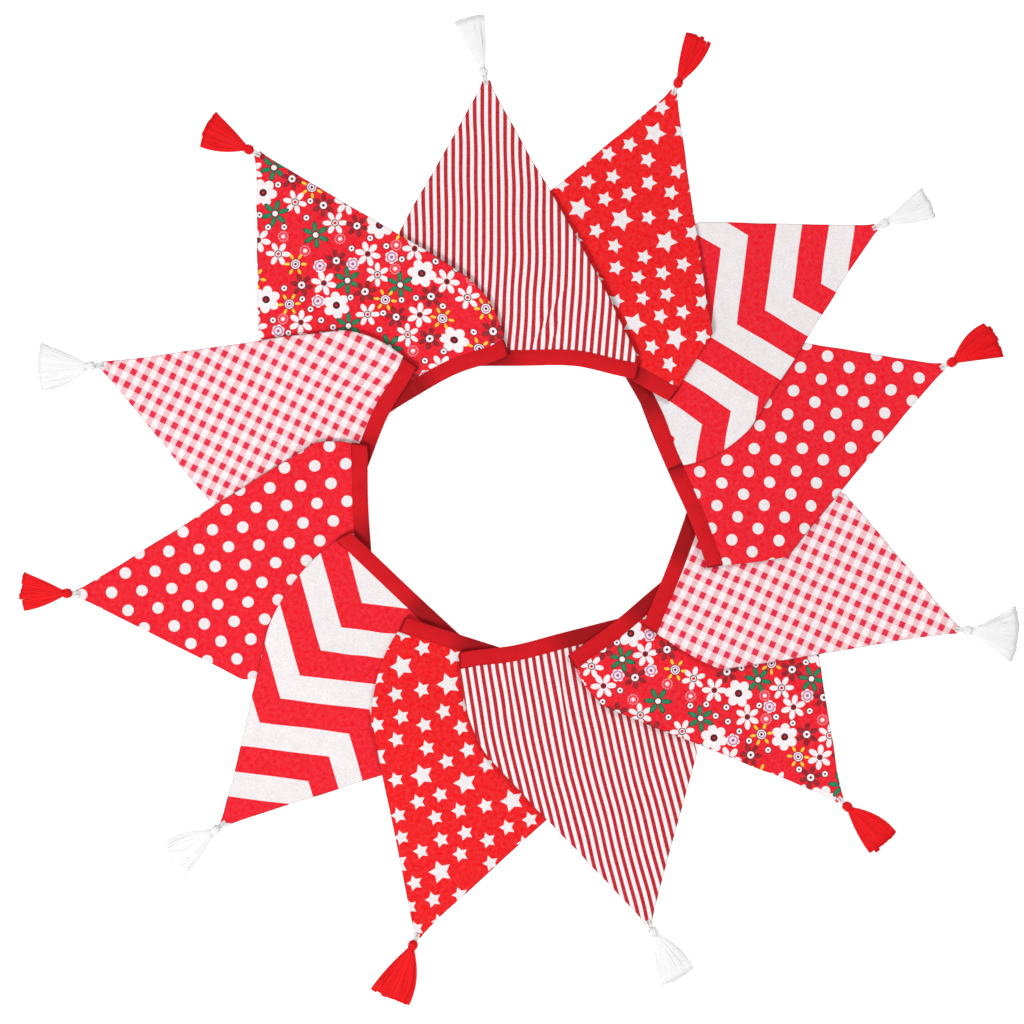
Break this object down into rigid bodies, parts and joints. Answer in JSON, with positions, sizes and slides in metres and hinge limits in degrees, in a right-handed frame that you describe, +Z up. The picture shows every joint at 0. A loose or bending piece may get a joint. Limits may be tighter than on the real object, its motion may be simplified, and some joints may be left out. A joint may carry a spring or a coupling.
{
  "type": "fabric bunting",
  "caption": "Patterned cloth pennants on one red binding tape, laid as a ring of overlapping blades, each with a tassel at its point.",
  "frame": {"origin": "middle of the bounding box, on the surface the bunting lies on", "axes": "+Z up out of the cloth's faces, +Y towards the top of the picture, +X to its right"},
  "size_m": [0.6638, 0.6558, 0.0157],
  "materials": {
    "cotton_stripes": "woven cotton, thin red stripes on white",
    "cotton_stars": "woven cotton, white stars on red",
    "cotton_chevron": "woven cotton, red and white zigzag",
    "cotton_dots": "woven cotton, white dots on red",
    "cotton_gingham": "woven cotton, red and white gingham",
    "cotton_floral": "woven cotton, small flowers on red",
    "binding_red": "red cotton bias tape, stitched",
    "yarn_red": "red cotton floss",
    "yarn_white": "white cotton floss"
  },
  "bodies": {
    "root": {"binding_tape": "binding_red", "pennant_stripes_1": "cotton_stripes", "tassel_stripes_1": "yarn_white", "pennant_stars_1": "cotton_stars", "tassel_stars_1": "yarn_red", "pennant_chevron_1": "cotton_chevron", "tassel_chevron_1": "yarn_white", "pennant_dots_1": "cotton_dots", "tassel_dots_1": "yarn_red", "pennant_gingham_1": "cotton_gingham", "tassel_gingham_1": "yarn_white", "pennant_floral_1": "cotton_floral", "tassel_floral_1": "yarn_red", "pennant_stripes_2": "cotton_stripes", "tassel_stripes_2": "yarn_white", "pennant_stars_2": "cotton_stars", "tassel_stars_2": "yarn_red", "pennant_chevron_2": "cotton_chevron", "tassel_chevron_2": "yarn_white", "pennant_dots_2": "cotton_dots", "tassel_dots_2": "yarn_red", "pennant_gingham_2": "cotton_gingham", "tassel_gingham_2": "yarn_white", "pennant_floral_2": "cotton_floral", "tassel_floral_2": "yarn_red"}
  },
  "joints": []
}
